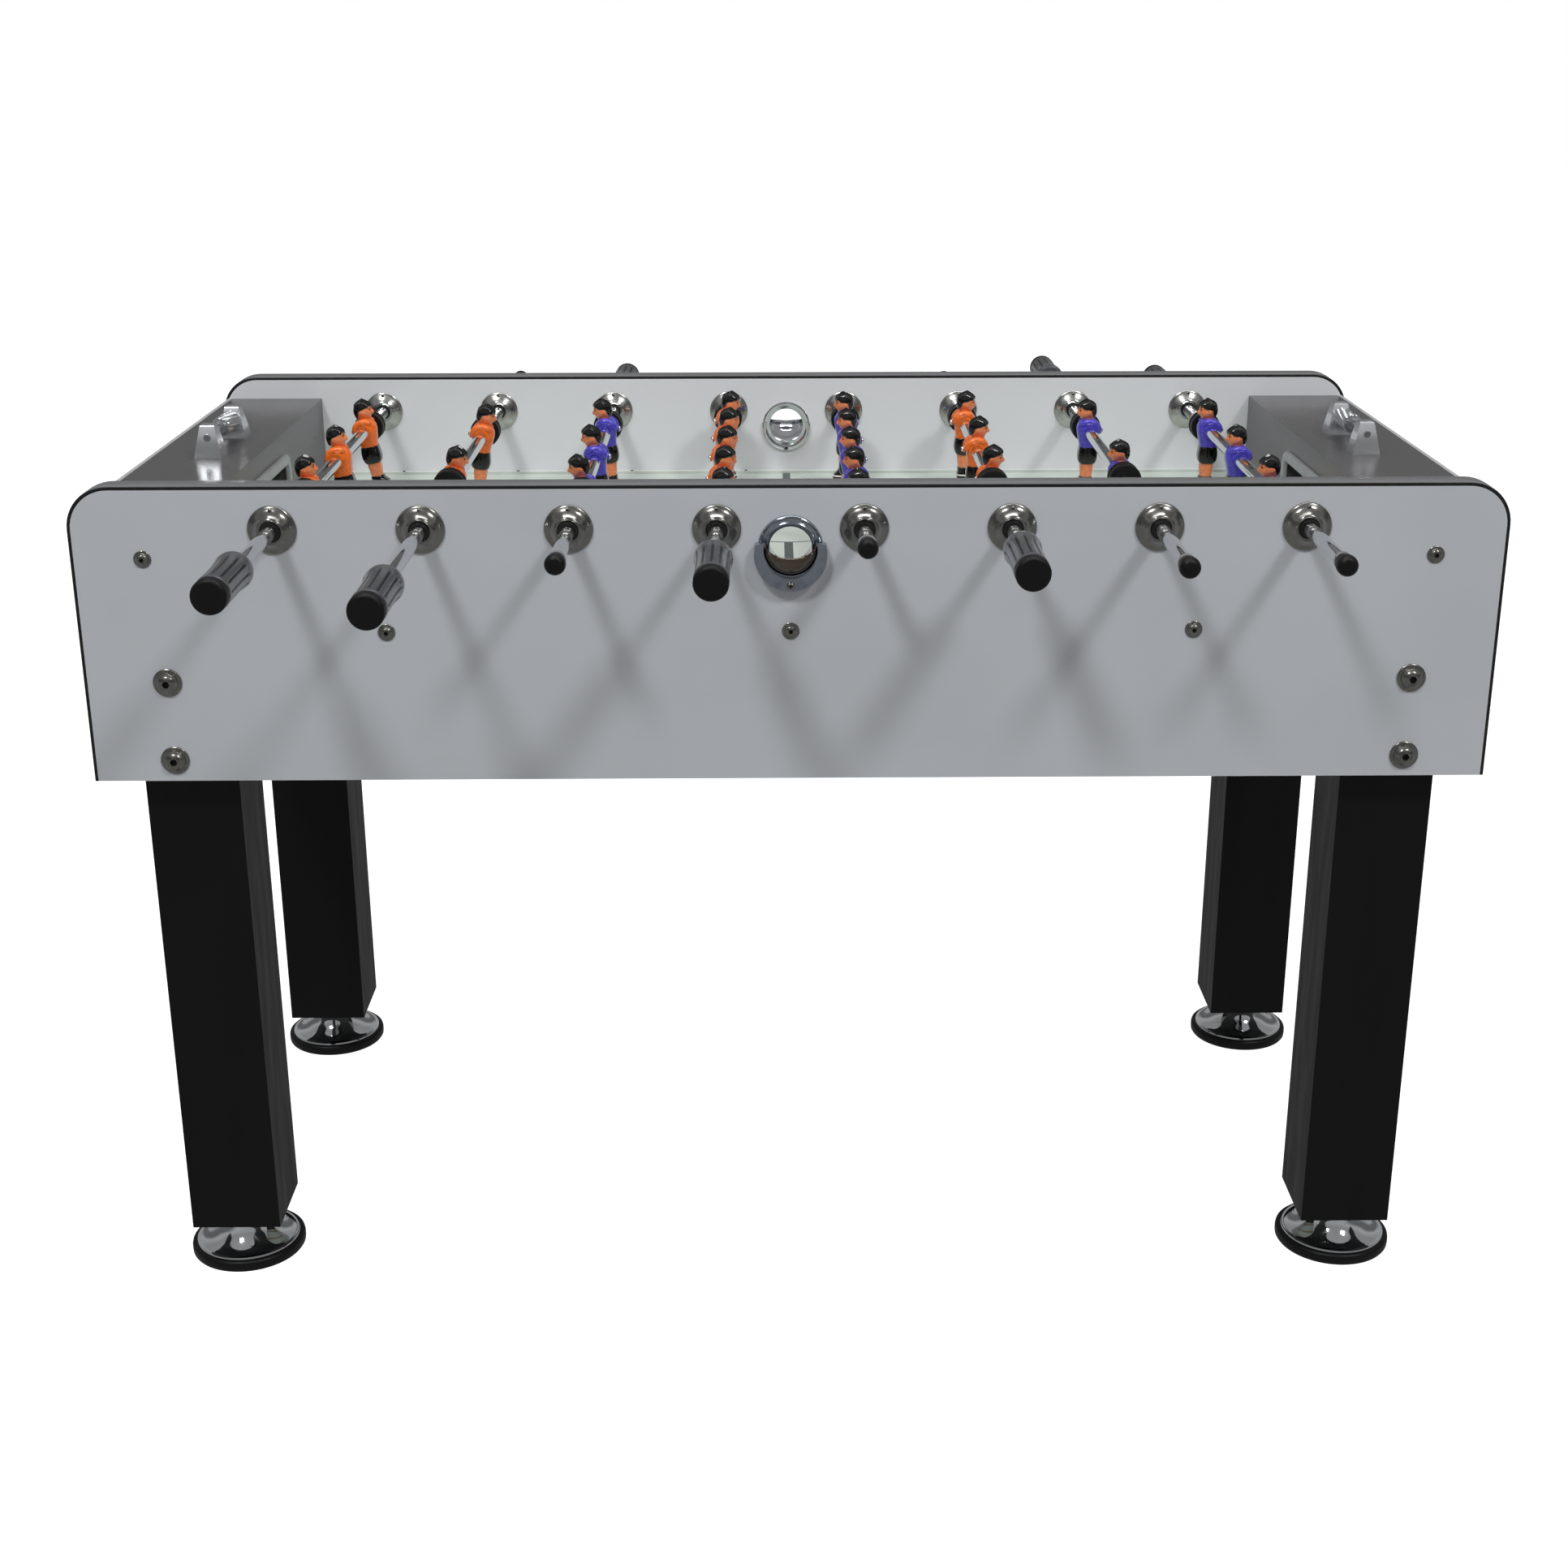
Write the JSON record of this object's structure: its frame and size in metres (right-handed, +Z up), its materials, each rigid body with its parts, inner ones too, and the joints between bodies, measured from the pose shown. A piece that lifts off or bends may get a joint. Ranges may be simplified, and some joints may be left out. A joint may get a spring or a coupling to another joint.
{
  "type": "foosball table",
  "caption": "Free-standing foosball table: a grey cabinet on black legs, with chrome rods of men that slide and spin, goals, bead scorers and levelling feet.",
  "frame": {"origin": "on the floor, under the middle of the playfield", "axes": "+X along the table to the right goal, +Y away from the front players, +Z up"},
  "size_m": [1.466, 1.356, 0.931],
  "materials": {
    "side_laminate": "satin light grey laminate",
    "edging": "dark edging strip",
    "dark_board": "dark grey laminate, semi-gloss",
    "goal_rim": "light grey rim",
    "playfield": "pale laminate with grey lines",
    "frame_wood": "plain sawn wood",
    "tray_sheet": "black moulded sheet",
    "leg_black": "satin black laminate",
    "foot_plated": "plated cone on a black pad",
    "black_nylon": "black nylon",
    "chrome": "bright plating",
    "dark_chrome": "plated bolts",
    "men_orange": "orange shirts, black shorts",
    "men_blue": "blue shirts, black shorts",
    "grip_smoke": "smoke grey, black end plug",
    "black_rubber": "black rubber"
  },
  "bodies": {
    "cabinet": {"side_panel_front": "side_laminate", "side_panel_rear": "side_laminate", "side_trims": "edging", "end_panel_left": "dark_board", "end_panel_right": "dark_board", "goal_wall_left": "dark_board", "goal_wall_right": "dark_board", "end_shelves": "dark_board", "goal_frames": "goal_rim", "playfield": "playfield", "cross_beams": "frame_wood", "ball_trays": "tray_sheet", "leg_front_left": "leg_black", "leg_front_right": "leg_black", "leg_rear_left": "leg_black", "leg_rear_right": "leg_black", "rod_bushings": "black_nylon", "rod_flanges": "chrome", "ball_entries": "chrome", "leg_bolts": "dark_chrome", "panel_bolts": "dark_chrome", "score_stands": "chrome"},
    "rod_1_stops": {"rod_1_bumpers": "black_rubber"},
    "rod_1": {"rod_1_tube": "chrome", "rod_1_men": "men_orange", "rod_1_handle": "grip_smoke"},
    "rod_2_stops": {"rod_2_bumpers": "black_rubber"},
    "rod_2": {"rod_2_tube": "chrome", "rod_2_men": "men_orange", "rod_2_handle": "grip_smoke"},
    "rod_3_stops": {"rod_3_bumpers": "black_rubber"},
    "rod_3": {"rod_3_tube": "chrome", "rod_3_men": "men_blue", "rod_3_handle": "grip_smoke"},
    "rod_4_stops": {"rod_4_bumpers": "black_rubber"},
    "rod_4": {"rod_4_tube": "chrome", "rod_4_men": "men_orange", "rod_4_handle": "grip_smoke"},
    "rod_5_stops": {"rod_5_bumpers": "black_rubber"},
    "rod_5": {"rod_5_tube": "chrome", "rod_5_men": "men_blue", "rod_5_handle": "grip_smoke"},
    "rod_6_stops": {"rod_6_bumpers": "black_rubber"},
    "rod_6": {"rod_6_tube": "chrome", "rod_6_men": "men_orange", "rod_6_handle": "grip_smoke"},
    "rod_7_stops": {"rod_7_bumpers": "black_rubber"},
    "rod_7": {"rod_7_tube": "chrome", "rod_7_men": "men_blue", "rod_7_handle": "grip_smoke"},
    "rod_8_stops": {"rod_8_bumpers": "black_rubber"},
    "rod_8": {"rod_8_tube": "chrome", "rod_8_men": "men_blue", "rod_8_handle": "grip_smoke"},
    "beads_left": {"score_beads_left": "chrome"},
    "beads_right": {"score_beads_right": "chrome"},
    "foot_front_left_body": {"foot_front_left": "foot_plated"},
    "foot_front_right_body": {"foot_front_right": "foot_plated"},
    "foot_rear_left_body": {"foot_rear_left": "foot_plated"},
    "foot_rear_right_body": {"foot_rear_right": "foot_plated"}
  },
  "joints": [
    {"name": "rod_1_slide", "type": "slide", "parent": "cabinet", "child": "rod_1_stops", "axis": [0, 1, 0], "range_m": [-0.1125, 0.0865]},
    {"name": "rod_1_spin", "type": "hinge", "parent": "rod_1_stops", "child": "rod_1", "pos_m": [-0.525, 0, 0.877], "axis": [0, 1, 0], "continuous": true},
    {"name": "rod_2_slide", "type": "slide", "parent": "cabinet", "child": "rod_2_stops", "axis": [0, 1, 0], "range_m": [-0.1665, 0.1225]},
    {"name": "rod_2_spin", "type": "hinge", "parent": "rod_2_stops", "child": "rod_2", "pos_m": [-0.375, 0, 0.877], "axis": [0, 1, 0], "continuous": true},
    {"name": "rod_3_slide", "type": "slide", "parent": "cabinet", "child": "rod_3_stops", "axis": [0, 1, 0], "range_m": [-0.1135, 0.0855]},
    {"name": "rod_3_spin", "type": "hinge", "parent": "rod_3_stops", "child": "rod_3", "pos_m": [-0.225, 0, 0.877], "axis": [0, 1, 0], "continuous": true},
    {"name": "rod_4_slide", "type": "slide", "parent": "cabinet", "child": "rod_4_stops", "axis": [0, 1, 0], "range_m": [-0.0415, 0.0335]},
    {"name": "rod_4_spin", "type": "hinge", "parent": "rod_4_stops", "child": "rod_4", "pos_m": [-0.075, 0, 0.877], "axis": [0, 1, 0], "continuous": true},
    {"name": "rod_5_slide", "type": "slide", "parent": "cabinet", "child": "rod_5_stops", "axis": [0, 1, 0], "range_m": [-0.0315, 0.0435]},
    {"name": "rod_5_spin", "type": "hinge", "parent": "rod_5_stops", "child": "rod_5", "pos_m": [0.075, 0, 0.877], "axis": [0, 1, 0], "continuous": true},
    {"name": "rod_6_slide", "type": "slide", "parent": "cabinet", "child": "rod_6_stops", "axis": [0, 1, 0], "range_m": [-0.1585, 0.0405]},
    {"name": "rod_6_spin", "type": "hinge", "parent": "rod_6_stops", "child": "rod_6", "pos_m": [0.225, 0, 0.877], "axis": [0, 1, 0], "continuous": true},
    {"name": "rod_7_slide", "type": "slide", "parent": "cabinet", "child": "rod_7_stops", "axis": [0, 1, 0], "range_m": [-0.1875, 0.1015]},
    {"name": "rod_7_spin", "type": "hinge", "parent": "rod_7_stops", "child": "rod_7", "pos_m": [0.375, 0, 0.877], "axis": [0, 1, 0], "continuous": true},
    {"name": "rod_8_slide", "type": "slide", "parent": "cabinet", "child": "rod_8_stops", "axis": [0, 1, 0], "range_m": [-0.0975, 0.1015]},
    {"name": "rod_8_spin", "type": "hinge", "parent": "rod_8_stops", "child": "rod_8", "pos_m": [0.525, 0, 0.877], "axis": [0, 1, 0], "continuous": true},
    {"name": "beads_left_slide", "type": "slide", "parent": "cabinet", "child": "beads_left", "axis": [0, 1, 0], "range_m": [-0.04, 0]},
    {"name": "beads_right_slide", "type": "slide", "parent": "cabinet", "child": "beads_right", "axis": [0, 1, 0], "range_m": [-0.04, 0]},
    {"name": "foot_front_left_level", "type": "slide", "parent": "cabinet", "child": "foot_front_left_body", "axis": [0, 0, -1], "range_m": [0, 0.015]},
    {"name": "foot_front_right_level", "type": "slide", "parent": "cabinet", "child": "foot_front_right_body", "axis": [0, 0, -1], "range_m": [0, 0.015]},
    {"name": "foot_rear_left_level", "type": "slide", "parent": "cabinet", "child": "foot_rear_left_body", "axis": [0, 0, -1], "range_m": [0, 0.015]},
    {"name": "foot_rear_right_level", "type": "slide", "parent": "cabinet", "child": "foot_rear_right_body", "axis": [0, 0, -1], "range_m": [0, 0.015]}
  ]
}
